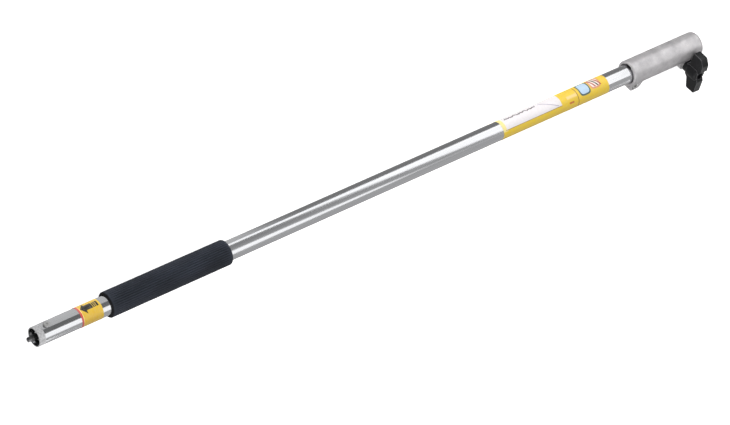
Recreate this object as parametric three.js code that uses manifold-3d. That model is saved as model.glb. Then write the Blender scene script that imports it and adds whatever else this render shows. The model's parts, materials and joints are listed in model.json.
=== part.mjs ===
// Extension section of a split-shaft pole saw: a rigid aluminium tube with a drive shaft inside it.
// One end is a plain spigot with a locating lug, the other a cast coupling sleeve that clamps the
// next section's spigot with a wing screw.
// Millimetres. The pole is drawn along +X, spigot first, with the sleeve's keyway facing +Z, its clamp
// ears facing -Z and the wing knob standing out towards -Y. The whole pole is then turned to lie on
// the ground, on its sleeve, its grip and the edge of the ears, with the keyway towards -Y.
import * as THREE from 'three';
import { mergeVertices } from 'three/addons/utils/BufferGeometryUtils.js';
import Module from 'manifold-3d';

const wasm = await Module();
wasm.setup();

// ---------------------------------------------------------------- driving dimensions
const SEGMENTS = 48; // facets round the pole
const FINE = 24; // facets round the shaft and the screws
const GAP = 0.3; // clearance between resting or cut faces
const FIT = 0.05; // clearance round pieces that are fixed together
const SLIP = 0.1; // clearance round pieces that slide over the tube or into it
const RUNNING = 0.08; // radius added to a bore that the shaft or the screw turns in
const PAST = 1; // how far a cutting tool runs past the piece it cuts

const TUBE = { length: 1012, radius: 12.7, wall: 1.5 };
const BORE_RADIUS = TUBE.radius - TUBE.wall;
const SHAFT = { radius: 4, neck: 3.2, tipSide: 4.9, tipEdge: 2.5, tipReach: 9.4, shoulder: 3, end: 1000 };
const SOCKET = { start: 984, end: 1013, radius: 6.5, edge: 0.6, squareSide: 5, drilled: 16.3 };
const PIN = { x: 992, radius: 1.5, half: 6.1 };
const SLEEVE = { start: 953.2, end: 1078.8, radius: 17.7, bore: 12.8, mouth: 13.5, edge: 2.5 };
const SHOULDER = { start: TUBE.length + GAP, end: 1016, radius: 9.5 };
const SPOT_FACE = 10; // how far a screw's seat is cleared outside the ears
const KEYWAY = { width: 9.4, depth: 2.5 };
const SLIT = { width: 2.4, top: -5, bottom: -40, tubeEnd: 990, wingStart: 1034 };
const LUG = { x: 16.3, radius: 4.3, top: 14.9, stem: 2.3, markRadius: 1.5, markDepth: 0.7 };

const TUBE_EARS = {
  left: 955.5, right: 984, toeLeft: 958.5, toeRight: 975, bottom: -27, half: 9.5, screwX: 967, screwZ: -20.2,
};
const WING_EARS = {
  left: 1048, right: 1078, toeLeft: 1052, toeRight: 1072, bottom: -30, half: 9, screwX: 1061.3,
  screwZ: -21.5,
};
const EAR = { top: -8, foot: -12, corner: 3 };
const TUBE_SCREW = { radius: 3, headRadius: 4.7, headDepth: 3.6, hexRadius: 2.7, nutRadius: 5.7, nutDepth: 5 };
const WING_SCREW = { radius: 3.95, end: 8.6, knobDepth: 18, nutSide: 13, nutDepth: 6 };
const WASHER = { radius: 8.2, thickness: 1.6 };
const KNOB = { baseRadius: 9, hubRadius: 10.5, height: 25.5, endRadius: 8, endDepth: 3.5, thickness: 11 };

const GRIP = { start: 104.5, length: 180, radius: 16.8, edge: 3 };
const ARROW_LABEL = { start: 61.5, length: 31, from: -75, to: 165 };
const INFO_LABEL = { start: 727, length: 184, from: -120, to: 195 };
const LABEL_SKIN = 0.2;

const TIP_GUIDE = { start: 7, length: 14, hub: 7.5, arm: 4, arms: 5 };
const BUSH = { length: 18, radius: 7, edge: 0.5, count: 4, first: 200, last: 860 };
const HOLDER = { length: 14, inner: 7.1, hub: 8.6, arm: 3.2, arms: 6 };
const CLIP = { width: 1, inner: 3.6, outer: 6.4, groove: 3.5, openAngle: 75 };

// ---------------------------------------------------------------- solids
// A closed geometry as a manifold solid, without normals, duplicate points or flat triangles.
function toSolid(geometry) {
  const bare = geometry.index ? geometry.clone() : mergeVertices(geometry.clone());
  bare.deleteAttribute('normal');
  bare.deleteAttribute('uv');
  const merged = mergeVertices(bare, 1e-4);
  const triangles = [];
  const index = merged.index.array;
  for (let i = 0; i < index.length; i += 3) {
    const [a, b, c] = [index[i], index[i + 1], index[i + 2]];
    if (a !== b && b !== c && c !== a) triangles.push(a, b, c);
  }
  const mesh = new wasm.Mesh({
    numProp: 3,
    vertProperties: new Float32Array(merged.attributes.position.array),
    triVerts: new Uint32Array(triangles),
  });
  return new wasm.Manifold(mesh);
}

function toGeometry(solid) {
  const mesh = solid.getMesh();
  const geometry = new THREE.BufferGeometry();
  geometry.setAttribute('position', new THREE.BufferAttribute(mesh.vertProperties, 3));
  geometry.setIndex(new THREE.BufferAttribute(mesh.triVerts, 1));
  geometry.computeVertexNormals();
  return geometry;
}

const union = (first, ...others) => others.reduce((sum, other) => sum.add(other), first);
const minus = (first, ...others) => others.reduce((rest, other) => rest.subtract(other), first);

// Turned body about the pole's axis. Points are [x, radius]; the outside is walked towards +X.
function turned(points, segments = SEGMENTS) {
  const profile = points.map(([x, radius]) => new THREE.Vector2(radius, x));
  const geometry = new THREE.LatheGeometry(profile, segments);
  geometry.rotateZ(-Math.PI / 2);
  return toSolid(geometry);
}

// Plain ring about the pole's axis, with its outer corners cut by `edge`.
function ring(start, end, inner, outer, edge = 0, segments = SEGMENTS) {
  const outside = edge
    ? [[start, outer - edge], [start + edge, outer], [end - edge, outer], [end, outer - edge]]
    : [[start, outer], [end, outer]];
  return turned([[start, inner], ...outside, [end, inner], [start, inner]], segments);
}

// Solid round bar along the pole.
const bar = (start, end, radius, segments = SEGMENTS) =>
  turned([[start, 0], [start, radius], [end, radius], [end, 0]], segments);

function block(low, high) {
  const geometry = new THREE.BoxGeometry(high[0] - low[0], high[1] - low[1], high[2] - low[2]);
  geometry.translate((low[0] + high[0]) / 2, (low[1] + high[1]) / 2, (low[2] + high[2]) / 2);
  return toSolid(geometry);
}

// Round or many-sided bar along Y through (x, z).
function crossBar(x, z, fromY, toY, radius, sides = FINE, turn = 0) {
  const geometry = new THREE.CylinderGeometry(radius, radius, toY - fromY, sides);
  geometry.rotateY(turn);
  geometry.translate(x, (fromY + toY) / 2, z);
  return toSolid(geometry);
}

// Upright bar through (x, y = 0).
function uprightBar(x, fromZ, toZ, radius, sides = FINE) {
  const geometry = new THREE.CylinderGeometry(radius, radius, toZ - fromZ, sides);
  geometry.rotateX(Math.PI / 2);
  geometry.translate(x, 0, (fromZ + toZ) / 2);
  return toSolid(geometry);
}

// Shape drawn in Y and Z, pushed along the pole from start to end.
function alongPole(shape, start, end) {
  const geometry = new THREE.ExtrudeGeometry(shape, { depth: end - start, bevelEnabled: false });
  const axes = new THREE.Matrix4().makeBasis(
    new THREE.Vector3(0, 1, 0), new THREE.Vector3(0, 0, 1), new THREE.Vector3(1, 0, 0));
  geometry.applyMatrix4(axes);
  geometry.translate(start, 0, 0);
  return toSolid(geometry);
}

// Outline drawn in X and Z, pushed across the pole from fromY to toY.
function acrossPole(points, fromY, toY) {
  const shape = new THREE.Shape(points.map(([x, z]) => new THREE.Vector2(x, z)));
  const geometry = new THREE.ExtrudeGeometry(shape, { depth: toY - fromY, bevelEnabled: false });
  geometry.rotateX(Math.PI / 2);
  geometry.translate(0, toY, 0);
  return toSolid(geometry);
}

// Part of a ring between two angles in degrees, counted from +Z towards -Y.
function arcBand(start, end, inner, outer, fromDegrees, toDegrees) {
  const step = 360 / SEGMENTS;
  const angles = [];
  for (let angle = fromDegrees; angle <= toDegrees; angle += step) {
    angles.push(THREE.MathUtils.degToRad(angle));
  }
  const at = (radius, angle) => new THREE.Vector2(-radius * Math.sin(angle), radius * Math.cos(angle));
  const outline = angles.map((angle) => at(outer, angle));
  outline.push(...angles.reverse().map((angle) => at(inner, angle)));
  return alongPole(new THREE.Shape(outline), start, end);
}

// ---------------------------------------------------------------- scene
const part = new THREE.Group();
const pole = new THREE.Group();
part.add(pole);

const FINISHES = {
  bright_aluminium: { color: 0xc9ccd1, roughness: 0.22, metalness: 1 },
  cast_aluminium: { color: 0xb9b5b6, roughness: 0.5, metalness: 0.6 },
  black_plastic: { color: 0x1c1c1f, roughness: 0.45, metalness: 0 },
  black_foam: { color: 0x262a31, roughness: 0.85, metalness: 0 },
  label: { color: 0xf0c030, roughness: 0.4, metalness: 0 },
  drive_steel: { color: 0x55565a, roughness: 0.35, metalness: 1 },
  plated_steel: { color: 0xb4b6b8, roughness: 0.3, metalness: 1 },
  bearing_bronze: { color: 0xa07a45, roughness: 0.4, metalness: 1 },
  black_rubber: { color: 0x202022, roughness: 0.8, metalness: 0 },
};

function add(name, finish, solid) {
  const mesh = new THREE.Mesh(toGeometry(solid), new THREE.MeshStandardMaterial(FINISHES[finish]));
  mesh.name = name;
  pole.add(mesh);
  return mesh;
}

// ---------------------------------------------------------------- tube and what is fixed on it
function poleTube() {
  const lugHole = uprightBar(LUG.x, 0, TUBE.radius + PAST, LUG.stem + SLIP);
  add('pole_tube', 'bright_aluminium', minus(ring(0, TUBE.length, BORE_RADIUS, TUBE.radius), lugHole));
}

// Riveted button: a low head with a centre mark, and a stem through the tube's wall.
function locatingLug() {
  const seat = bar(LUG.x - 2 * LUG.radius, LUG.x + 2 * LUG.radius, TUBE.radius + FIT);
  const head = minus(uprightBar(LUG.x, BORE_RADIUS - 2, LUG.top, LUG.radius), seat);
  const stem = uprightBar(LUG.x, BORE_RADIUS + SLIP, LUG.top - 1, LUG.stem);
  const centreMark = uprightBar(LUG.x, LUG.top - LUG.markDepth, LUG.top + PAST, LUG.markRadius, 12);
  add('locating_lug', 'plated_steel', minus(union(head, stem), centreMark));
}

function labels() {
  const inner = TUBE.radius + FIT;
  const skin = (label) => arcBand(
    label.start, label.start + label.length, inner, inner + LABEL_SKIN, label.from, label.to);
  add('arrow_label', 'label', skin(ARROW_LABEL));
  add('info_label', 'label', skin(INFO_LABEL));
}

function foamGrip() {
  const { start, length, radius, edge } = GRIP;
  const inner = TUBE.radius + SLIP;
  const corner = (x, side) => [0, 1, 2, 3].map((i) => {
    const angle = (i / 3) * (Math.PI / 2);
    return [x + side * edge * (1 - Math.sin(angle)), radius - edge * (1 - Math.cos(angle))];
  });
  const near = corner(start, 1).reverse();
  const far = corner(start + length, -1);
  const outline = [[start, inner], ...near, ...far, [start + length, inner], [start, inner]];
  add('foam_grip', 'black_foam', turned(outline));
}

// ---------------------------------------------------------------- drive line
// Round rod with a groove for each clip, a square tip at the spigot end and a pin hole at the other.
function driveShaft() {
  const { radius, neck, tipSide, tipEdge, tipReach, shoulder, end } = SHAFT;
  const half = tipSide / 2;
  const groove = (x) => [[x - SLIP, radius], [x - SLIP, CLIP.groove],
    [x + CLIP.width + SLIP, CLIP.groove], [x + CLIP.width + SLIP, radius]];
  const rod = turned([[-shoulder, 0], [-shoulder, neck], [1 - shoulder, radius],
    ...clipPlaces().flatMap(groove), [end, radius], [end, 0]], FINE);
  const tipLimit = turned(
    [[-tipReach, 0], [-tipReach, tipEdge], [neck - tipEdge - tipReach, neck], [0, neck], [0, 0]], FINE);
  const square = block([-tipReach, -half, -half], [0, half, half]).intersect(tipLimit);
  add('drive_shaft', 'drive_steel', minus(union(rod, square), pinHole()));
}

const clipPlaces = () => [TIP_GUIDE.start - GAP - CLIP.width, TIP_GUIDE.start + TIP_GUIDE.length + GAP];
const pinHole = () => uprightBar(PIN.x, -SOCKET.radius - PAST, SOCKET.radius + PAST, PIN.radius + FIT, 12);

// Sleeve pinned on the end of the shaft, with a square drive hole for the next section's tip.
function driveSocket() {
  const { start, end, radius, edge, squareSide, drilled } = SOCKET;
  const half = squareSide / 2;
  const body = minus(ring(start, end, SHAFT.radius + FIT, radius, edge, FINE), pinHole());
  const web = minus(bar(start + drilled, end - edge, SHAFT.radius + GAP, FINE),
    block([start, -half, -half], [end + PAST, half, half]));
  add('drive_socket', 'drive_steel', union(body, web));
  add('socket_pin', 'plated_steel', uprightBar(PIN.x, -PIN.half, PIN.half, PIN.radius, 12));
}

function retainingClips() {
  const { width, inner, outer, openAngle } = CLIP;
  clipPlaces().forEach((x, i) => {
    const clip = arcBand(x, x + width, inner, outer, openAngle / 2, 360 - openAngle / 2);
    add(`shaft_clip_${i + 1}`, 'plated_steel', clip);
  });
}

// Ring with arms that reach the tube's bore.
function spider(start, length, inner, hub, armWidth, arms) {
  const reach = BORE_RADIUS - SLIP;
  const limit = bar(start, start + length, reach);
  let body = bar(start, start + length, hub);
  for (let i = 0; i < arms; i += 1) {
    const arm = block([start, -armWidth / 2, 0], [start + length, armWidth / 2, reach + PAST]);
    body = body.add(arm.rotate([(360 / arms) * i, 0, 0]));
  }
  return minus(body.intersect(limit), bar(start - PAST, start + length + PAST, inner));
}

function bearings() {
  const { start, length, hub, arm, arms } = TIP_GUIDE;
  const running = SHAFT.radius + RUNNING;
  add('tip_guide_bush', 'black_rubber', spider(start, length, running, hub, arm, arms));
  for (let i = 0; i < BUSH.count; i += 1) {
    const x = BUSH.first + ((BUSH.last - BUSH.first) / (BUSH.count - 1)) * i;
    add(`bearing_bush_${i + 1}`, 'bearing_bronze',
      ring(x, x + BUSH.length, running, BUSH.radius, BUSH.edge, FINE));
    const holderStart = x + (BUSH.length - HOLDER.length) / 2;
    add(`bearing_holder_${i + 1}`, 'black_rubber',
      spider(holderStart, HOLDER.length, HOLDER.inner, HOLDER.hub, HOLDER.arm, HOLDER.arms));
  }
  add('socket_bush', 'black_plastic',
    ring(SOCKET.start + 3, SOCKET.end - 3, SOCKET.radius + RUNNING, BORE_RADIUS - SLIP, BUSH.edge));
}

// ---------------------------------------------------------------- coupling sleeve
function sleeveBarrel() {
  const { start, end, radius, bore, mouth, edge } = SLEEVE;
  const round = 0.3 * edge;
  const lead = 1;
  return turned([
    [start, mouth], [start, radius - edge], [start + round, radius - round], [start + edge, radius],
    [end - edge, radius], [end - round, radius - round], [end, radius - edge], [end, mouth],
    [end - lead, bore], [SHOULDER.end, bore], [SHOULDER.end, SHOULDER.radius],
    [SHOULDER.start, SHOULDER.radius], [SHOULDER.start, bore], [start + lead, bore], [start, mouth],
  ]);
}

// One pair of ears before the slit is cut: flat-sided, and shorter at the toe than at the foot.
function earBlock(ears) {
  const { left, right, toeLeft, toeRight, bottom, half } = ears;
  const { top, foot, corner } = EAR;
  return acrossPole([[left, top], [left, foot], [toeLeft, bottom + corner], [toeLeft + corner, bottom],
    [toeRight - corner, bottom], [toeRight, bottom + corner], [right, foot], [right, top]], -half, half);
}

function couplingSleeve() {
  const { start, end, bore } = SLEEVE;
  const halfKey = KEYWAY.width / 2;
  const keyTop = bore + KEYWAY.depth;
  const halfSlit = SLIT.width / 2;
  const tubeEnd = bar(start - PAST, SHOULDER.start, bore);
  const wingEnd = bar(SHOULDER.end, end + PAST, bore);
  const body = union(sleeveBarrel(), earBlock(TUBE_EARS), earBlock(WING_EARS));
  add('coupling_sleeve', 'cast_aluminium', minus(
    body,
    tubeEnd,
    wingEnd,
    block([start - PAST, -halfKey, 0], [SHOULDER.start, halfKey, keyTop]),
    block([SHOULDER.end, -halfKey, 0], [end + PAST, halfKey, keyTop]),
    block([start - PAST, -halfSlit, SLIT.bottom], [SLIT.tubeEnd, halfSlit, SLIT.top]),
    block([SLIT.wingStart, -halfSlit, SLIT.bottom], [end + PAST, halfSlit, SLIT.top]),
    ...tubeScrewHoles(),
    ...wingScrewHoles(),
  ));
}

function tubeScrewHoles() {
  const { screwX: x, screwZ: z, half } = TUBE_EARS;
  const { radius, headRadius, headDepth, nutRadius, nutDepth } = TUBE_SCREW;
  return [
    crossBar(x, z, -half - PAST, half + PAST, radius + GAP),
    crossBar(x, z, -half - SPOT_FACE, -half + headDepth + GAP, headRadius + 2 * GAP),
    crossBar(x, z, half - nutDepth - GAP, half + PAST, nutRadius + GAP, 6, Math.PI / 6),
  ];
}

// The round pocket lets the knob's base turn beside the barrel.
function wingScrewHoles() {
  const { screwX: x, screwZ: z, half } = WING_EARS;
  const pocket = (WING_SCREW.nutSide / 2 + GAP) * Math.SQRT2;
  return [
    crossBar(x, z, -half - PAST, half + PAST, WING_SCREW.radius + GAP),
    crossBar(x, z, -half - SPOT_FACE, -half, KNOB.baseRadius + 4 * GAP, 32),
    crossBar(x, z, half - WING_SCREW.nutDepth - GAP, half + SPOT_FACE, pocket, 4, Math.PI / 4),
  ];
}

// ---------------------------------------------------------------- clamp hardware
function tubeClampScrew() {
  const { screwX: x, screwZ: z, half } = TUBE_EARS;
  const { radius, headRadius, headDepth, hexRadius, nutRadius, nutDepth } = TUBE_SCREW;
  const seat = -half + headDepth;
  const head = crossBar(x, z, -half - GAP, seat, headRadius);
  const shank = crossBar(x, z, seat - 1, half + 1, radius);
  const hex = crossBar(x, z, -half - PAST, seat - headDepth / 3, hexRadius, 6, Math.PI / 6);
  add('tube_clamp_screw', 'plated_steel', minus(union(head, shank), hex));
  const nut = crossBar(x, z, half - nutDepth, half, nutRadius, 6, Math.PI / 6);
  add('tube_clamp_nut', 'plated_steel', minus(nut, crossBar(x, z, 0, half + PAST, radius + FIT)));
}

function wingHardware() {
  const { screwX: x, screwZ: z, half } = WING_EARS;
  const { radius, end, knobDepth, nutSide, nutDepth } = WING_SCREW;
  const washerFace = -half - GAP;
  const washerBack = washerFace - WASHER.thickness;
  const washerHole = crossBar(x, z, washerBack - PAST, washerFace + PAST, radius + GAP);
  add('wing_washer', 'plated_steel',
    minus(crossBar(x, z, washerBack, washerFace, WASHER.radius), washerHole));
  add('wing_stud', 'plated_steel', crossBar(x, z, knobBase() - knobDepth, end, radius));
  const nut = crossBar(x, z, half - nutDepth, half - GAP, nutSide / Math.SQRT2, 4, Math.PI / 4);
  add('wing_clamp_nut', 'plated_steel', minus(nut, crossBar(x, z, 0, half + PAST, radius + RUNNING)));
}

const knobBase = () => -WING_EARS.half - WASHER.thickness - 2 * GAP;

// Wing outlines: [along Z from the screw, out along -Y from the base], from the base to the end.
const UPPER_WING = [[9, 4], [12, 8], [30.4, 9.6], [30.2, 24.6], [21, 30.2], [11, 30.4], [3, 25]];
const LOWER_WING = [[-9, 4], [-13, 8.5], [-28.4, 12.5], [-28, 27.4], [-8, 28.6]];

// Hub and two wings in line with Z.
function wingKnob() {
  const { screwX: x, screwZ: z } = WING_EARS;
  const { baseRadius, hubRadius, height, endRadius, endDepth, thickness } = KNOB;
  const corners = [[0, 2], ...UPPER_WING, [0, height - 1.5], ...[...LOWER_WING].reverse()];
  const outline = new THREE.Shape(corners.map(([along, out]) => new THREE.Vector2(-out, along)));
  const wings = alongPole(outline, x - thickness / 2, x + thickness / 2).translate([0, knobBase(), z]);
  const profile = [[0, 0], [baseRadius, 0], [baseRadius, 5], [hubRadius, 9], [hubRadius, height - endDepth],
    [endRadius, height], [0, height]].map(([radius, out]) => new THREE.Vector2(radius, out));
  const hubGeometry = new THREE.LatheGeometry(profile, 32);
  hubGeometry.rotateX(Math.PI);
  hubGeometry.translate(x, knobBase(), z);
  const studEnd = knobBase() - WING_SCREW.knobDepth - GAP;
  const studHole = crossBar(x, z, studEnd, knobBase() + PAST, WING_SCREW.radius + FIT);
  add('wing_knob', 'black_plastic', minus(union(toSolid(hubGeometry), wings), studHole));
}

// ---------------------------------------------------------------- assembly
poleTube();
locatingLug();
labels();
foamGrip();
driveShaft();
driveSocket();
retainingClips();
bearings();
couplingSleeve();
tubeClampScrew();
wingHardware();
wingKnob();

// Laid on the ground on the sleeve and the lower edge of the wing ears, and turned to face -Y.
const earReach = Math.hypot(WING_EARS.half, WING_EARS.bottom);
const restRoll = Math.atan2(WING_EARS.half, -WING_EARS.bottom) + Math.acos(SLEEVE.radius / earReach);
pole.rotation.set(-restRoll, 0, Math.PI, 'ZYX');

// The origin is the middle of the part's underside.
const box = new THREE.Box3().setFromObject(pole, true);
const centre = box.getCenter(new THREE.Vector3());
pole.position.set(-centre.x, -centre.y, -box.min.z);

export default part;
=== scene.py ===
import json
import math

import bmesh
import bpy
from mathutils import Matrix, Vector, noise

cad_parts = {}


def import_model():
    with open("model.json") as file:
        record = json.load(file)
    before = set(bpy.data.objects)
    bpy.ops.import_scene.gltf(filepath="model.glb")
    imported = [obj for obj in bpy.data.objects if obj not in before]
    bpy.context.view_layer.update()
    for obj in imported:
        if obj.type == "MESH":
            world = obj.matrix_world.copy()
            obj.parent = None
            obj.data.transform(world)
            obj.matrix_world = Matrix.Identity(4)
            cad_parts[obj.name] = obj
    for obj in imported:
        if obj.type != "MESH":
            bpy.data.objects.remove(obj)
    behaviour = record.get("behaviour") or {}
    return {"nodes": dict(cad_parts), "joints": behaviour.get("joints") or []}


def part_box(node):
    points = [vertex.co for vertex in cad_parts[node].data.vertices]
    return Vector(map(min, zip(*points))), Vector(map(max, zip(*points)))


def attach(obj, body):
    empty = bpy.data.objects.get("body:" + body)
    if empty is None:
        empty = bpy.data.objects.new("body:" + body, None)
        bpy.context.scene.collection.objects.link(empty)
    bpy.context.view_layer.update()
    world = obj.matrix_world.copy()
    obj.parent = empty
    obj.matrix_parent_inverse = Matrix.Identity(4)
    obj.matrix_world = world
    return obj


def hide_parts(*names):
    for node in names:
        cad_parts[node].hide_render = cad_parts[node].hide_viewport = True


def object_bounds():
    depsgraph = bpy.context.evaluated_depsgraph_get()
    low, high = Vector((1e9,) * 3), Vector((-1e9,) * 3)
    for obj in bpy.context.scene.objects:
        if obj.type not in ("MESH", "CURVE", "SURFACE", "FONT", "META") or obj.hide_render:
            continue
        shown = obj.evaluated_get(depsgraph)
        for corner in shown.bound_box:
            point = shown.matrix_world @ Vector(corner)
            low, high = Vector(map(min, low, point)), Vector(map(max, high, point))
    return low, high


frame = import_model()
CAD_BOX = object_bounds()

# Pieces are drawn in the pole's own millimetres: x from the spigot's end towards the sleeve, +Z the
# side of the keyway and the lug, -Y the side of the wing knob. POLE turns that into the frame's metres.
TUBE_RADIUS, TUBE_BORE = 12.7, 11.2
SLEEVE_RADIUS, SLEEVE_BORE, SLEEVE_MOUTH = 17.7, 12.8, 13.5
SMOOTH_ROUND = 128  # facets round the pole's large pieces
MIDDLE_ROUND = 64  # facets round the guide and the knob
SCREW_ROUND = 48  # facets round screws and the shaft

# How a flat outline of (a, b) and its depth lie on the pole's x, y and z.
ALONG_POLE = Matrix(((0, 0, 1, 0), (1, 0, 0, 0), (0, 1, 0, 0), (0, 0, 0, 1)))
ACROSS_POLE = Matrix(((1, 0, 0, 0), (0, 0, -1, 0), (0, 1, 0, 0), (0, 0, 0, 1)))
ROUND_POLE = Matrix(((0, 0, 1, 0), (0, -1, 0, 0), (1, 0, 0, 0), (0, 0, 0, 1)))


def pole_matrix():
    low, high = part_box("pole_tube")
    middle = (low + high) / 2
    turn = next(joint for joint in frame["joints"] if joint["name"] == "wing_screw_turn")
    along = Vector((-1, 0, 0))
    across = -Vector(turn["axis"]).normalized()
    axes = Matrix((along, across, along.cross(across))).transposed().to_4x4()
    return Matrix.Translation((high.x, middle.y, middle.z)) @ axes @ Matrix.Scale(0.001, 4)


POLE = pole_matrix()


def pole_span(node):
    """Where a CAD node starts and ends along the pole, in pole millimetres."""
    low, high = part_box(node)
    tip = POLE.translation.x
    return (tip - high.x) * 1000, (tip - low.x) * 1000


# ------------------------------------------------------------------ mesh tools
SLIVER = 0.005  # edges shorter than this, in millimetres, are left over from cutting


def rounded(points, radii, steps=4):
    """The outline with its corners rounded: radii gives each corner's cut, 0 for a sharp one."""
    count = len(points)
    result = []
    for i, (point, radius) in enumerate(zip(points, radii)):
        corner = Vector(point)
        if not radius:
            result.append(corner)
            continue
        before = corner + (Vector(points[i - 1]) - corner).normalized() * radius
        after = corner + (Vector(points[(i + 1) % count]) - corner).normalized() * radius
        for step in range(steps + 1):
            t = step / steps
            result.append(before * (1 - t) ** 2 + corner * (2 * t * (1 - t)) + after * t ** 2)
    return [tuple(point) for point in result]


def lathe(bm, outline, segments=SMOOTH_ROUND, place=Matrix.Identity(4), ripple=None):
    """Closed outline of (x, radius) turned about the x axis. What ripple(x, radius, angle) gives is
    added to the radius."""
    rings = []
    for x, radius in outline:
        if radius <= 0:
            rings.append([bm.verts.new(place @ Vector((x, 0, 0)))] * segments)
            continue
        ring = []
        for i in range(segments):
            angle = 2 * math.pi * i / segments
            reach = radius + (ripple(x, radius, angle) if ripple else 0)
            point = Vector((x, reach * math.sin(angle), reach * math.cos(angle)))
            ring.append(bm.verts.new(place @ point))
        rings.append(ring)
    for a, b in zip(rings, rings[1:] + rings[:1]):
        for i in range(segments):
            corners = [a[i], a[i - 1], b[i - 1], b[i]]
            face = list(dict.fromkeys(corners))
            if len(face) > 2:
                bm.faces.new(face)
    return bm


def prism(bm, outline, low, high, place=Matrix.Identity(4)):
    """Outline of (a, b) pushed from low to high along the third direction of place."""
    bottom = [bm.verts.new(place @ Vector((a, b, low))) for a, b in outline]
    top = [bm.verts.new(place @ Vector((a, b, high))) for a, b in outline]
    count = len(outline)
    bm.faces.new(bottom[::-1])
    bm.faces.new(top)
    for i in range(count):
        j = (i + 1) % count
        bm.faces.new([bottom[i], bottom[j], top[j], top[i]])
    return bm


def solid(bm, name="solid"):
    """A loose object in pole millimetres, for cutting and joining."""
    bmesh.ops.recalc_face_normals(bm, faces=bm.faces)
    mesh = bpy.data.meshes.new(name)
    bm.to_mesh(mesh)
    bm.free()
    made = bpy.data.objects.new(name, mesh)
    bpy.context.scene.collection.objects.link(made)
    return made


def settle(made):
    """Applies the object's modifiers to its mesh."""
    graph = bpy.context.evaluated_depsgraph_get()
    mesh = bpy.data.meshes.new_from_object(made.evaluated_get(graph))
    made.modifiers.clear()
    made.data = mesh
    return made


def combine(target, others, operation):
    """Joins or cuts one solid after another, then clears the slivers that cutting leaves."""
    for other in others:
        modifier = target.modifiers.new(operation.lower(), "BOOLEAN")
        modifier.operation = operation
        modifier.solver = "EXACT"
        modifier.object = other
        settle(target)
        bpy.data.objects.remove(other)
    bm = bmesh.new()
    bm.from_mesh(target.data)
    bmesh.ops.dissolve_degenerate(bm, dist=SLIVER, edges=bm.edges)
    bm.to_mesh(target.data)
    bm.free()
    return target


def soften(made, voxel, rounds):
    """Fine even skin with small fillets, as casting and moulding leave."""
    remesh = made.modifiers.new("remesh", "REMESH")
    remesh.mode = "VOXEL"
    remesh.voxel_size = voxel
    smooth = made.modifiers.new("smooth", "SMOOTH")
    smooth.factor = 0.5
    smooth.iterations = rounds
    return settle(made)


def show(made, name, body, material, replaces=(), sharp=math.radians(35)):
    """Turns a loose object into a shown piece: in place, shaded, riding on its body."""
    made.name = name
    made.data.name = name
    made.data.transform(POLE)
    made.data.materials.clear()
    made.data.materials.append(material)
    made.data.shade_smooth()
    if sharp:
        made.data.set_sharp_from_angle(angle=sharp)
    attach(made, body)
    if replaces:
        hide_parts(*replaces)
    return made


def out_of_side(x, z):
    """Axis along -Y, out of the pole's knob side, through (x, z)."""
    return Matrix.Translation((x, 0, z)) @ Matrix.Rotation(-math.pi / 2, 4, "Z")


# ------------------------------------------------------------------ material tools
class Paint:
    """Builds one material's nodes."""

    def __init__(self, name, **settings):
        self.material = bpy.data.materials.new(name)
        self.material.use_nodes = True
        self.tree = self.material.node_tree
        self.shader = self.tree.nodes["Principled BSDF"]
        for key, value in settings.items():
            self.shader.inputs[key.replace("_", " ")].default_value = value

    def node(self, kind, values=(), **settings):
        made = self.tree.nodes.new(kind)
        for key, value in settings.items():
            setattr(made, key, value)
        for index, value in enumerate(values):
            if value is None:
                continue
            if isinstance(value, bpy.types.NodeSocket):
                self.tree.links.new(value, made.inputs[index])
            else:
                made.inputs[index].default_value = value
        return made

    def link(self, source, name):
        self.tree.links.new(source, self.shader.inputs[name])

    def math(self, operation, *values):
        return self.node("ShaderNodeMath", values, operation=operation).outputs[0]

    def where(self):
        """Place in the frame, in metres: every piece's object sits at the origin."""
        return self.node("ShaderNodeTexCoord").outputs["Object"]

    def grain(self, scale, detail=3.0, roughness=0.5, stretch=(1, 1, 1)):
        mapping = self.node("ShaderNodeMapping", [self.where()])
        mapping.inputs["Scale"].default_value = stretch
        made = self.node("ShaderNodeTexNoise", [mapping.outputs[0]])
        made.inputs["Scale"].default_value = scale
        made.inputs["Detail"].default_value = detail
        made.inputs["Roughness"].default_value = roughness
        return made.outputs["Fac"]

    def spread(self, value, low, high, from_low=0.3, from_high=0.7):
        made = self.node("ShaderNodeMapRange", [value, from_low, from_high, low, high])
        return made.outputs[0]

    def step(self, value, low, high):
        """0 below low, 1 above high, smooth between."""
        made = self.node("ShaderNodeMapRange", [value, low, high, 0.0, 1.0],
                         interpolation_type="SMOOTHSTEP")
        return made.outputs[0]

    def band(self, value, low, high, soft):
        rise = self.step(value, low - soft, low + soft)
        fall = self.step(value, high - soft, high + soft)
        return self.math("SUBTRACT", rise, fall)

    def mix(self, mask, first, second):
        made = self.node("ShaderNodeMix", data_type="RGBA")
        for name, value in (("Factor", mask), ("A", first), ("B", second)):
            socket = [s for s in made.inputs if s.name == name and s.enabled][0]
            if isinstance(value, bpy.types.NodeSocket):
                self.tree.links.new(value, socket)
            elif name == "Factor":
                socket.default_value = value
            else:
                socket.default_value = (*value, 1)
        return [s for s in made.outputs if s.enabled][0]

    def bump(self, height, distance, strength=1.0, before=None):
        made = self.node("ShaderNodeBump", [strength, distance])
        self.tree.links.new(height, made.inputs["Height"])
        if before:
            self.tree.links.new(before, made.inputs["Normal"])
        return made.outputs[0]


def srgb(red, green, blue):
    """A colour as seen on a screen, 0 to 255, in the linear light that shaders take."""
    def linear(value):
        value /= 255
        return value / 12.92 if value <= 0.04045 else ((value + 0.055) / 1.055) ** 2.4
    return linear(red), linear(green), linear(blue)


# ------------------------------------------------------------------ materials
DULL_START, DULL_FULL = 0.0072, 0.0058  # metres from the spigot's end
SKIN_START, SKIN_FULL = 0.0115, 0.0119  # between the tube's bore and its outside


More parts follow.
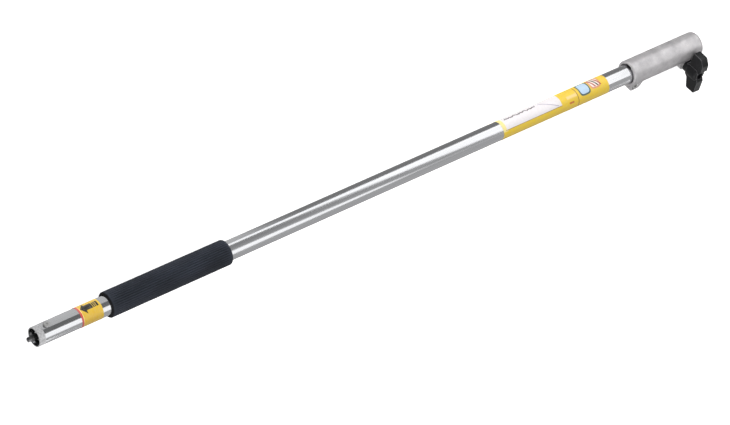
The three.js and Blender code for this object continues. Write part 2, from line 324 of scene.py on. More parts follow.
def drawn_aluminium():
    """Bright drawn tube: faint lines along it, small smudges, and a dulled end on the spigot."""
    paint = Paint("drawn_aluminium")
    lines = paint.grain(900, 2, 0.6, (0.004, 1, 1))
    smudges = paint.grain(22, 4, 0.6, (0.35, 1, 1))
    along, across, above = paint.node("ShaderNodeSeparateXYZ", [paint.where()]).outputs
    tip, middle, height = POLE.translation
    uneven = paint.math("MULTIPLY_ADD", paint.grain(260, 3), 0.004, along)
    dull = paint.step(uneven, tip - DULL_START, tip - DULL_FULL)
    sides = []
    for pair in ((across, middle), (above, height)):
        sides.append(paint.math("POWER", paint.math("SUBTRACT", *pair), 2))
    outside = paint.step(paint.math("SQRT", paint.math("ADD", *sides)), SKIN_START, SKIN_FULL)
    dull = paint.math("MULTIPLY", dull, outside)
    tone = paint.mix(paint.spread(lines, 0, 1), (0.74, 0.75, 0.77), (0.84, 0.845, 0.86))
    tone = paint.mix(paint.spread(smudges, 0, 0.35), tone, (0.66, 0.67, 0.69))
    rough = paint.spread(paint.grain(520, 4, 0.7), 0, 1)
    worn = paint.mix(rough, (0.46, 0.46, 0.47), (0.82, 0.82, 0.83))
    paint.link(paint.mix(dull, tone, worn), "Base Color")
    paint.link(paint.math("MULTIPLY_ADD", dull, -0.35, 1.0), "Metallic")
    shine = paint.math("ADD", paint.spread(smudges, 0.1, 0.17), paint.spread(lines, 0.0, 0.05))
    paint.link(paint.math("MULTIPLY_ADD", dull, 0.36, shine), "Roughness")
    fine = paint.bump(lines, 0.00002, 0.3)
    paint.link(paint.bump(paint.grain(500, 2, 0.5, (0.2, 1, 1)), 0.00003, 0.15, fine), "Normal")
    return paint.material


def cast_aluminium():
    """Tumbled casting: soft mottling, a fine pitted skin and slightly brighter rubbed places."""
    paint = Paint("cast_aluminium", Metallic=0.6)
    patches = paint.grain(55, 4, 0.6)
    skin = paint.grain(1100, 3, 0.6)
    tone = paint.mix(paint.spread(patches, 0, 1), (0.52, 0.505, 0.52), (0.8, 0.78, 0.79))
    tone = paint.mix(paint.spread(skin, 0, 0.4), tone, (0.45, 0.44, 0.45))
    paint.link(tone, "Base Color")
    paint.link(paint.spread(patches, 0.44, 0.3), "Roughness")
    broad = paint.bump(paint.grain(160, 2), 0.0003, 0.35)
    paint.link(paint.bump(skin, 0.00012, 0.6, broad), "Normal")
    return paint.material


EDGE_HIGHLIGHT_REACH = 0.0009  # how far the painted edge highlight reaches in from an edge, in metres


def moulded_plastic():
    """Black moulded plastic with a fine spark-eroded texture, its edges made paler by a painted
    highlight.
    """
    paint = Paint("moulded_plastic", IOR=1.44)
    skin = paint.grain(1400, 3, 0.6)
    tone = paint.mix(paint.spread(paint.grain(60), 0, 1), srgb(13, 13, 15), srgb(24, 24, 27))
    # Painted highlight: where the rounded normal turns away from the face's own, the edge gets a paler
    # grey.
    edge = paint.node("ShaderNodeBevel", [EDGE_HIGHLIGHT_REACH])
    edge.samples = 6
    turned = paint.node("ShaderNodeVectorMath", [edge.outputs[0]], operation="DOT_PRODUCT")
    paint.tree.links.new(paint.node("ShaderNodeNewGeometry").outputs["Normal"], turned.inputs[1])
    edge_highlight = paint.step(turned.outputs["Value"], 0.995, 0.93)
    paint.link(paint.mix(paint.math("MULTIPLY", edge_highlight, 0.8), tone, srgb(118, 118, 122)), "Base Color")
    paint.link(paint.spread(skin, 0.26, 0.4), "Roughness")
    paint.link(paint.bump(skin, 0.0001, 0.5), "Normal")
    return paint.material


def foam():
    """Closed-cell foam: matte blue-black, finely pored, with painted shade darkening the valleys
    between its ribs.
    """
    paint = Paint("foam", IOR=1.4)
    pores = paint.grain(1800, 2, 0.7)
    clouds = paint.spread(paint.grain(40, 4, 0.6, (0.5, 1, 1)), 0, 1)
    tone = paint.mix(clouds, srgb(38, 43, 52), srgb(60, 66, 79))
    tone = paint.mix(paint.spread(pores, 0.5, 0), tone, srgb(20, 22, 26))
    # Painted shade: the valley attribute darkens the colour down in the valleys between the ribs.
    valley = paint.node("ShaderNodeAttribute", attribute_name="valley").outputs["Fac"]
    tone = paint.mix(paint.math("MULTIPLY", valley, 0.95), tone, srgb(12, 13, 16))
    paint.link(tone, "Base Color")
    paint.link(paint.spread(pores, 0.85, 0.6), "Roughness")
    paint.link(paint.bump(pores, 0.00025, 0.8), "Normal")
    return paint.material


def metal(name, dark, light, rough, scratch=(1, 1, 1)):
    """Plain turned or plated metal with fine scratches."""
    paint = Paint(name, Metallic=1.0)
    marks = paint.grain(900, 3, 0.6, scratch)
    paint.link(paint.mix(paint.spread(marks, 0, 1), dark, light), "Base Color")
    paint.link(paint.spread(marks, rough, rough + 0.16), "Roughness")
    paint.link(paint.bump(marks, 0.00004, 0.5), "Normal")
    return paint.material


def black_rubber():
    """Matte black rubber."""
    paint = Paint("black_rubber", IOR=1.45)
    skin = paint.grain(900, 3)
    tone = paint.mix(paint.spread(skin, 0, 1), srgb(26, 26, 28), srgb(44, 44, 47))
    paint.link(tone, "Base Color")
    paint.link(paint.spread(skin, 0.55, 0.75), "Roughness")
    paint.link(paint.bump(skin, 0.0001, 0.4), "Normal")
    return paint.material


YELLOW = srgb(240, 206, 44)
ORANGE = srgb(238, 188, 46)
DEEP_YELLOW = srgb(224, 186, 42)
DEEP_ORANGE = srgb(220, 170, 42)
CREAM = srgb(250, 232, 150)
WHITE = srgb(238, 234, 238)
RED = srgb(206, 76, 70)
STROKE_RED = srgb(176, 60, 52)
BLACK = srgb(10, 9, 6)
STROKE_BLACK = srgb(30, 20, 24)


DEGREES_PER_MM = 4.42  # on the film, round the tube


class Print(Paint):
    """Printed film. x is millimetres along the label, a is degrees from +Z towards -Y."""

    def __init__(self, name):
        super().__init__(name, Roughness=0.32, IOR=1.5, Coat_Weight=0.25, Coat_Roughness=0.12)
        place = self.node("ShaderNodeAttribute", attribute_name="print").outputs["Vector"]
        parts = self.node("ShaderNodeSeparateXYZ", [place])
        self.x, self.a = parts.outputs[0], parts.outputs[1]
        self.ink = None

    def patch(self, colour, x=None, a=None, soft=0.12, mask=None):
        """Prints a colour over what is there: a box in x and a, or a mask."""
        if x:
            mask = self.band(self.x, x[0], x[1], soft)
        if a:
            around = self.band(self.a, a[0], a[1], soft * 4)
            mask = self.math("MULTIPLY", mask, around) if mask else around
        self.ink = self.mix(mask, self.ink, colour) if mask else colour

    def distance(self, x, a):
        """Millimetres on the film from a point."""
        along = self.math("SUBTRACT", self.x, x)
        around = self.math("DIVIDE", self.math("SUBTRACT", self.a, a), DEGREES_PER_MM)
        return along, around

    def finish(self):
        wear = self.spread(self.grain(300, 3), 0.0, 0.16)
        self.link(self.mix(wear, self.ink, srgb(200, 190, 170)), "Base Color")
        self.link(self.bump(self.grain(240, 2), 0.00005, 0.3), "Normal")
        return self.material


def arrow_print():
    """Stop line, yellow field and an arrow that points at the spigot's end."""
    sheet = Print("arrow_print")
    sheet.patch(DEEP_YELLOW)
    sheet.patch(DEEP_ORANGE, mask=sheet.spread(sheet.grain(35, 2), 0, 0.6))
    sheet.patch(RED, x=(-1, 2.6))
    sheet.patch(CREAM, x=(2.6, 3.2))
    along, around = sheet.distance(3.4, 0)
    side = sheet.math("ABSOLUTE", around)
    head_edge = sheet.math("SUBTRACT", sheet.math("MULTIPLY", along, 1.15), side)
    head_length = sheet.band(along, 0, 7.4, 0.12)
    head = sheet.math("MULTIPLY", sheet.step(head_edge, -0.1, 0.1), head_length)
    shaft = sheet.math("MULTIPLY", sheet.band(along, 5, 25, 0.12), sheet.band(side, -9, 4.1, 0.12))
    sheet.patch(BLACK, mask=sheet.math("MAXIMUM", head, shaft))
    for start in (20.2, 22.6, 25.0):
        sheet.patch(DEEP_YELLOW, x=(start, start + 0.7))
    sheet.patch(DEEP_YELLOW, x=(29.0, 32))
    return sheet.finish()


def info_print():
    """White and yellow panels with plain bars, patches and strokes in place of any lettering."""
    sheet = Print("info_print")
    sheet.patch(YELLOW)
    sheet.patch(ORANGE, mask=sheet.spread(sheet.grain(18, 2), 0, 0.25))
    sheet.patch(CREAM, x=(-1, 7.5), a=(-90, 60))
    sheet.patch(WHITE, x=(5.5, 101), a=(-96, 52), soft=0.3)
    sheet.patch(srgb(160, 132, 60), x=(4, 101), a=(51, 54.5), soft=0.2)
    wave = sheet.spread(sheet.grain(330, 2, 0.6, (1, 0.1, 0.1)), -6, 6)
    line = sheet.math("ADD", sheet.a, wave)
    gaps = sheet.step(sheet.grain(420, 1, 0.5, (1, 0.2, 0.2)), 0.22, 0.32)
    broken = sheet.math("MULTIPLY", sheet.band(sheet.x, 10, 63, 0.3), gaps)
    scribble = sheet.math("MULTIPLY", sheet.band(line, -19, -10.5, 0.8), broken)
    sheet.patch(srgb(92, 84, 92), mask=scribble)
    slant = sheet.math("MULTIPLY_ADD", sheet.a, -0.42, sheet.x)
    slanted = sheet.math("MULTIPLY", sheet.band(slant, 76, 77.6, 0.3), sheet.band(sheet.a, -20, 46, 1))
    sheet.patch(srgb(150, 138, 170), mask=slanted)
    sheet.patch(srgb(248, 216, 140), x=(112, 129), a=(16, 34), soft=1.2)
    sheet.patch(srgb(206, 110, 44), x=(114, 122), a=(54, 66), soft=0.7)
    sheet.patch(srgb(150, 96, 40), x=(129.6, 130.6), soft=0.2)
    rounded_patch(sheet, 144, 2, 9.4, 11.4, srgb(44, 84, 84), srgb(186, 214, 240))
    striped = (163.5, -8)
    rounded_patch(sheet, *striped, 8.8, 10.4, srgb(226, 150, 110), srgb(244, 230, 222))
    along, around = sheet.distance(*striped)
    lean = sheet.math("MULTIPLY_ADD", around, -0.45, along)
    inside = sheet.band(around, -8, 8, 0.3)
    for place, colour in ((-4.6, STROKE_RED), (0.2, STROKE_BLACK), (4.8, STROKE_RED)):
        stroke = sheet.band(lean, place - 1.1, place + 1.1, 0.15)
        sheet.patch(colour, mask=sheet.math("MULTIPLY", stroke, inside))
    return sheet.finish()


def rounded_patch(sheet, x, a, half_x, half_around, edge, fill):
    """A patch with round corners and an outline."""
    along, around = sheet.distance(x, a)
    far_x = sheet.math("DIVIDE", along, half_x)
    far_a = sheet.math("DIVIDE", around, half_around)
    power = [sheet.math("POWER", sheet.math("ABSOLUTE", far), 4) for far in (far_x, far_a)]
    reach = sheet.math("ADD", *power)
    sheet.patch(edge, mask=sheet.math("SUBTRACT", 1, sheet.step(reach, 0.9, 1.1)))
    sheet.patch(fill, mask=sheet.math("SUBTRACT", 1, sheet.step(reach, 0.36, 0.46)))


ALUMINIUM = drawn_aluminium()
CASTING = cast_aluminium()
PLASTIC = moulded_plastic()
FOAM = foam()
RUBBER = black_rubber()
SHAFT_STEEL = metal("shaft_steel", (0.1, 0.1, 0.104), (0.27, 0.27, 0.278), 0.24, scratch=(0.05, 1, 1))
PLATED = metal("plated_steel", (0.58, 0.58, 0.58), (0.78, 0.78, 0.77), 0.24)
BRONZE = metal("bearing_bronze", (0.34, 0.2, 0.08), (0.5, 0.32, 0.14), 0.34)


# ------------------------------------------------------------------ tube, lug and labels
def tube():
    start, end = pole_span("pole_tube")
    corners = [(start, TUBE_BORE), (start, TUBE_RADIUS), (end, TUBE_RADIUS), (end, TUBE_BORE)]
    outline = rounded(corners, [0.25, 0.4, 0.3, 0.2])
    made = solid(lathe(bmesh.new(), outline))
    show(made, "tube_shell", "root", ALUMINIUM, ["pole_tube"])


def lug():
    """Riveted button with a domed rim and a centre mark."""
    start, end = pole_span("locating_lug")
    radius, top, mark = (end - start) / 2, 14.9, 1.5
    seat, rim = 12.2, 13.35
    undercut = deep = 0.7
    corners = [(seat, 0), (seat, radius - undercut), (rim, radius - undercut), (rim, radius),
               (top, radius), (top, mark), (top - deep, mark), (top - deep, 0)]
    outline = rounded(corners, [0, 0, 0, 0.2, 0.7, 0.25, 0.2, 0])
    upright = Matrix.Translation(((start + end) / 2, 0, 0)) @ Matrix.Rotation(-math.pi / 2, 4, "Y")
    made = solid(lathe(bmesh.new(), outline, SCREW_ROUND, upright))
    show(made, "lug_button", "root", PLATED, ["locating_lug"])


FILM_INNER, FILM_OUTER = 12.75, 12.95
FILM_COLUMN = 4  # millimetres along the pole
FILM_ROWS = 96


def label(node, from_angle, to_angle, material, name):
    """Film wrapped part of the way round the tube. Its print attribute says where each point is."""
    start, end = pole_span(node)
    columns, rows = max(2, round((end - start) / FILM_COLUMN)), FILM_ROWS
    bm = bmesh.new()
    place = bm.verts.layers.float_vector.new("print")

    def sheet(radius):
        grid = []
        for i in range(columns + 1):
            x = start + (end - start) * i / columns
            row = []
            for j in range(rows + 1):
                degrees = from_angle + (to_angle - from_angle) * j / rows
                angle = math.radians(degrees)
                vert = bm.verts.new((x, -radius * math.sin(angle), radius * math.cos(angle)))
                vert[place] = (x - start, degrees, 0)
                row.append(vert)
            grid.append(row)
        return grid

    bottom, top = sheet(FILM_INNER), sheet(FILM_OUTER)
    for i in range(columns):
        for j in range(rows):
            bm.faces.new([top[i][j], top[i + 1][j], top[i + 1][j + 1], top[i][j + 1]])
            bm.faces.new([bottom[i][j], bottom[i][j + 1], bottom[i + 1][j + 1], bottom[i + 1][j]])
    for i in range(columns):
        for j in (0, rows):
            bm.faces.new([top[i][j], bottom[i][j], bottom[i + 1][j], top[i + 1][j]])
    for j in range(rows):
        for i in (0, columns):
            bm.faces.new([top[i][j], bottom[i][j], bottom[i][j + 1], top[i][j + 1]])
    show(solid(bm), name, "root", material, [node])


# ------------------------------------------------------------------ foam grip
GRIP_RADIUS, GRIP_BORE, GRIP_EDGE = 16.8, 12.85, 1.8
RIBS = 36
RIB_DEPTH = 0.8
RIB_FADE = 4  # how far from an end a rib reaches its full depth
FACETS_PER_RIB = 10


def grip():
    start, end = pole_span("foam_grip")
    radius, edge = GRIP_RADIUS, GRIP_EDGE
    steps, edge_steps = 60, 8
    body = [(start + edge + (end - start - 2 * edge) * i / steps, radius) for i in range(steps + 1)]
    near = [(start + edge * (1 - math.cos(t)), radius - edge * (1 - math.sin(t)))
            for t in (math.pi / 2 * i / edge_steps for i in range(edge_steps))]
    far = [(start + end - x, r) for x, r in reversed(near)]
    outline = [(start, GRIP_BORE), *near, *body, *far, (end, GRIP_BORE)]

    def ripple(x, r, angle):
        """Rounded ribs with narrow valleys, fading into the ends, and the foam's own unevenness."""
        if r < radius - edge * 0.7:
            return 0
        ends = min(1, (x - start - edge) / RIB_FADE, (end - edge - x) / RIB_FADE)
        valley = (1 - abs(math.cos(RIBS * angle / 2))) ** 2.2
        wander = noise.noise(Vector((x * 0.03, math.sin(angle) * 1.4, math.cos(angle) * 1.4)))
        return -RIB_DEPTH * valley * max(0, ends) + 0.12 * wander - 0.1

    bm = lathe(bmesh.new(), outline, RIBS * FACETS_PER_RIB, ripple=ripple)
    # How deep each point lies in a rib's valley, used by the foam for its painted shade.
    valley = bm.verts.layers.float.new("valley")
    for vert in bm.verts:
        depth = radius - Vector((vert.co.y, vert.co.z)).length
        vert[valley] = min(1, max(0, depth / RIB_DEPTH))
    made = solid(bm)
    show(made, "ribbed_foam_grip", "root", FOAM, ["foam_grip"], math.radians(60))


# ------------------------------------------------------------------ drive line
def shaft():
    """Round rod with a chamfered square tip."""
    start, end = pole_span("drive_shaft")
    side, shoulder, neck, radius = 4.9, -3, 3.2, 4
    corners = [(shoulder, 0), (shoulder, neck), (shoulder + 0.8, radius), (end, radius), (end, 0)]
    made = solid(lathe(bmesh.new(), rounded(corners, [0, 0.2, 0.2, 0.3, 0]), SCREW_ROUND))
    half = side / 2
    cut = half - 0.45
    square = [(-cut, -half), (cut, -half), (half, -cut), (half, cut),
              (cut, half), (-cut, half), (-half, cut), (-half, -cut)]
    tip = bmesh.new()
    prism(tip, square, start, 0, ALONG_POLE)
    ends = [edge for edge in tip.edges if all(vert.co.x < start + 0.01 for vert in edge.verts)]
    bmesh.ops.bevel(tip, geom=ends, offset=0.6, segments=2, profile=0.5, affect="EDGES")
    combine(made, [solid(tip)], "UNION")
    sharp = math.radians(25)
    show(made, "shaft_and_tip", "drive_line", SHAFT_STEEL, ["drive_shaft"], sharp)


GUIDE_ARMS = 5
GUIDE_ARM = [(-2, 5.5), (2, 5.5), (1.7, 11.0), (-1.7, 11.0)]


def guide():
    """Rubber guide in the tube's mouth: a hub on five arms."""
    start, end = pole_span("tip_guide_bush")
    bore, radius = 4.08, 7.5
    hub = rounded([(start, bore), (start, radius), (end, radius), (end, bore)], [0.4, 0.6, 0.6, 0.4])
    made = solid(lathe(bmesh.new(), hub, MIDDLE_ROUND))
    arms = []
    for i in range(GUIDE_ARMS):
        arm = bmesh.new()
        turn = Matrix.Rotation(2 * math.pi * i / GUIDE_ARMS, 4, "X")
        prism(arm, GUIDE_ARM, start, end, turn @ ALONG_POLE)
        bmesh.ops.bevel(arm, geom=arm.edges[:], offset=0.3, segments=2, affect="EDGES")
        arms.append(solid(arm))
    combine(made, arms, "UNION")
    show(made, "guide_spider", "root", RUBBER, ["tip_guide_bush"])


# ------------------------------------------------------------------ coupling sleeve
TUBE_EARS = {"left": 955.5, "right": 984, "toe_left": 958.5, "toe_right": 975, "bottom": -27,
             "half": 9.5, "x": 967, "z": -20.2}
WING_EARS = {"left": 1048, "right": 1078, "toe_left": 1052, "toe_right": 1072, "bottom": -30,
             "half": 9, "x": 1061.3, "z": -21.5}
EAR_TOP, EAR_FOOT = -6, -12
SHOULDER, SHOULDER_BORE = (1012.3, 1016), 9.5
KEY_HALF, KEY_TOP = 4.7, 15.3
SLIT_HALF, SLIT_TOP, SLIT_BOTTOM = 1.2, -5, -40
TUBE_SLIT_END, WING_SLIT_START = 990, 1034
PAST = 2  # how far a cutter runs past the casting
SPOT_FACE = 10  # how far a screw's seat is cleared outside the ears


def ear_block(ears):
    """A clamp's pair of ears before the slit is cut, rounded at the toe."""
    corners = [(ears["left"], EAR_TOP), (ears["left"], EAR_FOOT), (ears["toe_left"], ears["bottom"]),
               (ears["toe_right"], ears["bottom"]), (ears["right"], EAR_FOOT), (ears["right"], EAR_TOP)]
    outline = rounded(corners, [0, 2, 5, 5, 3, 0])
    return solid(prism(bmesh.new(), outline, -ears["half"], ears["half"], ACROSS_POLE))


def box(low, high):
    """A cutting block between two corners."""
    bm = bmesh.new()
    bmesh.ops.create_cube(bm, size=1)
    size = Vector(high) - Vector(low)
    middle = (Vector(high) + Vector(low)) / 2
    place = Matrix.Translation(middle) @ Matrix.Diagonal((*size, 1))
    bmesh.ops.transform(bm, matrix=place, verts=bm.verts)
    return solid(bm)


def drill(x, z, from_out, to_out, radius, sides=SCREW_ROUND):
    """A round or many-sided cutter along -Y, between two distances out from the pole's middle."""
    outline = [(from_out, 0), (from_out, radius), (to_out, radius), (to_out, 0)]
    return solid(lathe(bmesh.new(), outline, sides, out_of_side(x, z)))


def sleeve_barrel():
    """The turned body, with a stop for the tube and the next section's spigot."""
    start, end = pole_span("coupling_sleeve")
    corners = [(start, SLEEVE_MOUTH + 0.6), (start, SLEEVE_RADIUS - 1.6), (start + 1.8, SLEEVE_RADIUS),
               (end, SLEEVE_RADIUS), (end, SLEEVE_MOUTH), (end - 1, SLEEVE_BORE),
               (SHOULDER[1], SLEEVE_BORE), (SHOULDER[1], SHOULDER_BORE), (SHOULDER[0], SHOULDER_BORE),
               (SHOULDER[0], SLEEVE_BORE), (start + 3, SLEEVE_BORE)]
    outline = rounded(corners, [0.2, 0.8, 0.8, 4.2] + [0] * 7, 6)
    return solid(lathe(bmesh.new(), outline))


def sleeve():
    start, end = pole_span("coupling_sleeve")
    made = sleeve_barrel()
    combine(made, [ear_block(TUBE_EARS), ear_block(WING_EARS)], "UNION")
    bores = []
    for low, high in ((start - PAST, SHOULDER[0]), (SHOULDER[1], end + PAST)):
        outline = [(low, 0), (low, SLEEVE_BORE), (high, SLEEVE_BORE), (high, 0)]
        bores.append(solid(lathe(bmesh.new(), outline)))
        bores.append(box((low, -KEY_HALF, 0), (high, KEY_HALF, KEY_TOP)))
    slits = [box((low, -SLIT_HALF, SLIT_BOTTOM), (high, SLIT_HALF, SLIT_TOP))
             for low, high in ((start - PAST, TUBE_SLIT_END), (WING_SLIT_START, end + PAST))]
    combine(made, [*bores, *slits, *screw_seats()], "DIFFERENCE")
    soften(made, voxel=0.42, rounds=3)
    show(made, "cast_coupling_sleeve", "root", CASTING, ["coupling_sleeve"], None)


def screw_seats():
    """Cutters for the holes through the ears and the seats of their screws and nuts."""
    tube_half, wing_half = TUBE_EARS["half"], WING_EARS["half"]
    tube_at = (TUBE_EARS["x"], TUBE_EARS["z"])
    wing_at = (WING_EARS["x"], WING_EARS["z"])
    nut_seat = drill(*wing_at, -wing_half - SPOT_FACE, -wing_half + 6.3, 9.6, 4)
    middle = Matrix.Translation((wing_at[0], 0, wing_at[1]))
    nut_seat.data.transform(middle @ Matrix.Rotation(math.pi / 4, 4, "Y") @ middle.inverted())
    return [
        drill(*tube_at, -tube_half - PAST, tube_half + PAST, 3.3),
        drill(*tube_at, tube_half - 3.9, tube_half + SPOT_FACE, 5.3),
        drill(*tube_at, -tube_half - PAST, -tube_half + 5.3, 6.0, 6),
        drill(*wing_at, -wing_half - PAST, wing_half + PAST, 4.25),
        drill(*wing_at, wing_half, wing_half + SPOT_FACE, 10.2),
        nut_seat,
    ]


# ------------------------------------------------------------------ clamp hardware
def tube_screw():
    """Socket head screw with a hexagon recess."""
    half = TUBE_EARS["half"]
    shank, head = 3, 4.7
    foot, seat, top = -half - 1, half - 3.6, half + 0.3
    corners = [(foot, 0), (foot, shank), (seat, shank), (seat, head), (top, head), (top, 0)]
    outline = rounded(corners, [0, 0.5, 0, 0.2, 0.6, 0])
    place = out_of_side(TUBE_EARS["x"], TUBE_EARS["z"])
    made = solid(lathe(bmesh.new(), outline, SCREW_ROUND, place))
    recess = drill(TUBE_EARS["x"], TUBE_EARS["z"], seat + 1.2, half + PAST, 2.7, 6)
    combine(made, [recess], "DIFFERENCE")
    show(made, "clamp_screw", "root", PLATED, ["tube_clamp_screw"])


def dress(node, material):
    """Gives a CAD node its finish, softened edges and smooth shading."""
    made = frame["nodes"][node]
    made.data.materials.clear()
    made.data.materials.append(material)
    made.data.shade_smooth()
    made.data.set_sharp_from_angle(angle=math.radians(30))
    edge = made.modifiers.new("edge", "BEVEL")
    edge.width = 0.0002
    edge.segments = 2
    edge.limit_method = "ANGLE"
    edge.angle_limit = math.radians(40)
    edge.harden_normals = True


# ------------------------------------------------------------------ wing knob
KNOB_BASE = 11.2  # how far out of the pole's middle the knob starts
KNOB_HALF = 5.5

# Outlines of the wings: (across the pole, out from the knob's base), from the hub and back to it.
LOWER_WING = [(2, 2), (-9, 4), (-13, 8.5), (-28.4, 12.5), (-28, 27.4), (-8, 28.6), (0, 24), (2, 24)]
UPPER_WING = [(-2, 2), (9, 4), (12, 8), (30.4, 9.6), (30.2, 24.6), (21, 30.2), (11, 30.4), (3, 25),
              (-2, 24)]


def wing(corners):
    """One wing of the knob, its long edges chamfered."""
    outline = rounded(corners, [0] + [0.9] * (len(corners) - 2) + [0])
    place = Matrix.Translation((WING_EARS["x"], -KNOB_BASE, WING_EARS["z"])) @ ROUND_POLE
    bm = prism(bmesh.new(), outline, -KNOB_HALF, KNOB_HALF, place)
    rim = [edge for edge in bm.edges if abs(edge.verts[0].co.x - edge.verts[1].co.x) < 0.01]
    bmesh.ops.bevel(bm, geom=rim, offset=1.2, segments=2, profile=0.6, affect="EDGES")
    return solid(bm)


def knob():
    """Hub and two wings, with a dished end and a blind hole for the stud."""
    corners = [(0, 0), (0, 9), (5, 9), (9, 10.5), (22, 10.5), (25.5, 8), (25.5, 0)]
    outline = rounded(corners, [0, 0.6, 1.5, 2, 2, 1.5, 0])
    place = out_of_side(WING_EARS["x"], WING_EARS["z"]) @ Matrix.Translation((KNOB_BASE, 0, 0))
    made = solid(lathe(bmesh.new(), outline, MIDDLE_ROUND, place))
    combine(made, [wing(LOWER_WING), wing(UPPER_WING)], "UNION")
    dish = drill(WING_EARS["x"], WING_EARS["z"], KNOB_BASE + 19, KNOB_BASE + 34, 5)
    bore = drill(WING_EARS["x"], WING_EARS["z"], KNOB_BASE - PAST, KNOB_BASE + 18.3, 4.0)
    combine(made, [dish, bore], "DIFFERENCE")
    sharp = math.radians(22)
    show(made, "moulded_wing_knob", "wing_screw", PLASTIC, ["wing_knob"], sharp)


# ------------------------------------------------------------------ camera, floor and light
CAMERA = {"azimuth": 45.583, "elevation": 42.586, "roll": 121.197, "distance": 4.3485, "lens": 169.25}
AIM_RIGHT, AIM_UP = -0.03036, -0.01669  # metres that the aim is off the middle of the part


def camera_axes():
    """The camera's right, up and backward directions."""
    azimuth, elevation, roll = (math.radians(CAMERA[key]) for key in ("azimuth", "elevation", "roll"))
    level_back = Vector((math.sin(azimuth), -math.cos(azimuth), 0))
    back = level_back * math.cos(elevation) + Vector((0, 0, math.sin(elevation)))
    level = Vector((math.cos(azimuth), math.sin(azimuth), 0))
    upright = back.cross(level)
    right = level * math.cos(roll) + upright * math.sin(roll)
    return right, back.cross(right), back


def camera():
    right, up, back = camera_axes()
    middle = (CAD_BOX[0] + CAD_BOX[1]) / 2
    data = bpy.data.cameras.new("camera")
    data.lens = CAMERA["lens"]
    data.sensor_width = 36
    data.clip_end = 50
    made = bpy.data.objects.new("camera", data)
    bpy.context.scene.collection.objects.link(made)
    place = middle + right * AIM_RIGHT + up * AIM_UP + back * CAMERA["distance"]
    made.matrix_world = Matrix.Translation(place) @ Matrix((right, up, back)).transposed().to_4x4()
    bpy.context.scene.camera = made


def floor():
    bm = bmesh.new()
    bmesh.ops.create_grid(bm, x_segments=1, y_segments=1, size=6)
    made = solid(bm, "floor")
    paint = Paint("pale_floor", Base_Color=(0.85, 0.85, 0.85, 1), Roughness=0.9,
                  Specular_IOR_Level=0.0, Emission_Color=(1, 1, 1, 1), Emission_Strength=0.84)
    made.data.materials.append(paint.material)
    made.visible_glossy = False


def softbox(name, rows, reach, strength):
    """Curved card of light round the pole, seen only in reflections. rows are (x, from, to): how far
    along the pole, and the angles about it, counted from the camera's side towards its up."""
    _, up, back = camera_axes()
    along = Vector((-1, 0, 0))
    facing = (back - along * back.dot(along)).normalized()
    top = along.cross(facing)
    if top.dot(up) < 0:
        top = -top
    bm = bmesh.new()
    steps = 24
    grid = []
    for x, low, high in rows:
        row = []
        for i in range(steps + 1):
            angle = math.radians(low + (high - low) * i / steps)
            out = facing * math.cos(angle) + top * math.sin(angle)
            row.append(bm.verts.new(POLE @ Vector((x, 0, 0)) + out * reach))
        grid.append(row)
    for a, b in zip(grid, grid[1:]):
        for i in range(steps):
            bm.faces.new([a[i], a[i + 1], b[i + 1], b[i]])
    made = solid(bm, name)
    material = bpy.data.materials.new(name)
    material.use_nodes = True
    tree = material.node_tree
    tree.nodes.clear()
    glow = tree.nodes.new("ShaderNodeEmission")
    glow.inputs["Strength"].default_value = strength
    out = tree.nodes.new("ShaderNodeOutputMaterial")
    tree.links.new(glow.outputs[0], out.inputs[0])
    made.data.materials.append(material)
    made.visible_camera = False
    made.visible_shadow = False
    made.visible_diffuse = False


def fill_light():
    _, up, back = camera_axes()
    data = bpy.data.lights.new("fill", "AREA")
    data.size = 2.4
    data.energy = 74
    made = bpy.data.objects.new("fill", data)
    bpy.context.scene.collection.objects.link(made)
    place = back * 2.2 + up * 1.0 + Vector((0, 0, 1.2))
    made.location = place
    made.rotation_mode = "QUATERNION"
    made.rotation_quaternion = (-place).to_track_quat("-Z", "Y")
    made.visible_glossy = False
    made.visible_camera = False


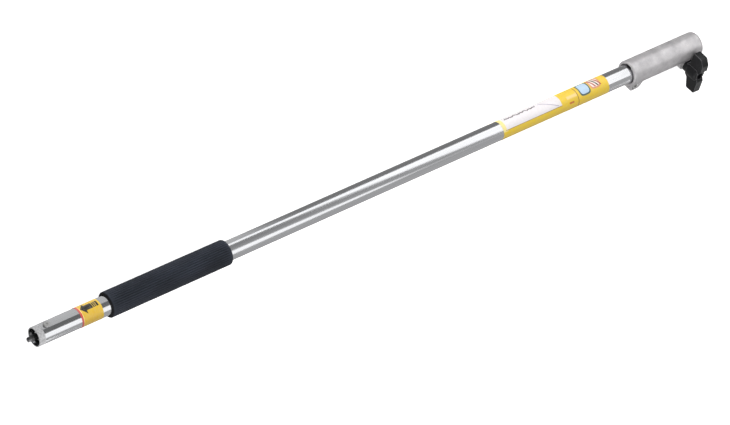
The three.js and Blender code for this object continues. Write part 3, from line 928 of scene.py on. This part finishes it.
def world():
    """White to the camera, and to all else a grey that brightens upward and behind the pole."""
    made = bpy.data.worlds.new("studio")
    bpy.context.scene.world = made
    made.use_nodes = True
    tree = made.node_tree
    ground = tree.nodes["Background"]
    direction = tree.nodes.new("ShaderNodeTexCoord")
    toward = tree.nodes.new("ShaderNodeVectorMath")
    toward.operation = "DOT_PRODUCT"
    toward.inputs[1].default_value = (0, 0.8, 0.6)
    shade = tree.nodes.new("ShaderNodeMapRange")
    for name, value in (("From Min", -0.75), ("From Max", 0.6), ("To Min", 0.215), ("To Max", 0.42)):
        shade.inputs[name].default_value = value
    tree.links.new(direction.outputs["Generated"], toward.inputs[0])
    tree.links.new(toward.outputs["Value"], shade.inputs[0])
    tree.links.new(shade.outputs[0], ground.inputs["Color"])
    seen = tree.nodes.new("ShaderNodeBackground")
    seen.inputs["Color"].default_value = (1, 1, 1, 1)
    path = tree.nodes.new("ShaderNodeLightPath")
    mix = tree.nodes.new("ShaderNodeMixShader")
    tree.links.new(path.outputs["Is Camera Ray"], mix.inputs[0])
    tree.links.new(ground.outputs[0], mix.inputs[1])
    tree.links.new(seen.outputs[0], mix.inputs[2])
    tree.links.new(mix.outputs[0], tree.nodes["World Output"].inputs[0])


tube()
lug()
label("arrow_label", -75, 165, arrow_print(), "arrow_film")
label("info_label", -120, 195, info_print(), "info_film")
grip()
shaft()
guide()
sleeve()
tube_screw()
knob()
for node in ("tube_clamp_nut", "wing_washer", "wing_stud", "wing_clamp_nut", "socket_pin",
             "shaft_clip_1", "shaft_clip_2"):
    dress(node, PLATED)
dress("drive_socket", SHAFT_STEEL)
dress("socket_bush", PLASTIC)
for number in range(1, 5):
    dress(f"bearing_bush_{number}", BRONZE)
    dress(f"bearing_holder_{number}", RUBBER)

camera()
floor()
upper_rows = [(700, 52, 70), (950, 42, 70), (1150, 18, 68), (1350, -6, 67), (1560, -32, 67),
              (2000, -40, 67)]
lower_rows = [(250, -66, -16), (620, -62, -14), (900, -56, -20), (1200, -50, -36)]
softbox("upper_softbox", upper_rows, 1.0, 1.3)
softbox("lower_softbox", lower_rows, 1.0, 1.2)
softbox("tip_softbox", [(300, 32, 150), (700, 38, 150), (900, 66, 150)], 1.05, 0.56)
softbox("dark_card", [(300, -20, 40), (600, -20, 40)], 1.1, 0.15)
softbox("knob_softbox", [(1830, -124, -98), (1940, -124, -98)], 1.0, 2.2)
softbox("chamfer_softbox", [(60, -126, -92), (380, -126, -92)], 1.0, 2.2)
softbox("back_softbox", [(-1300, -96, -52), (-60, -96, -52)], 1.0, 1.2)
fill_light()
world()
bpy.context.scene.view_settings.view_transform = "Standard"
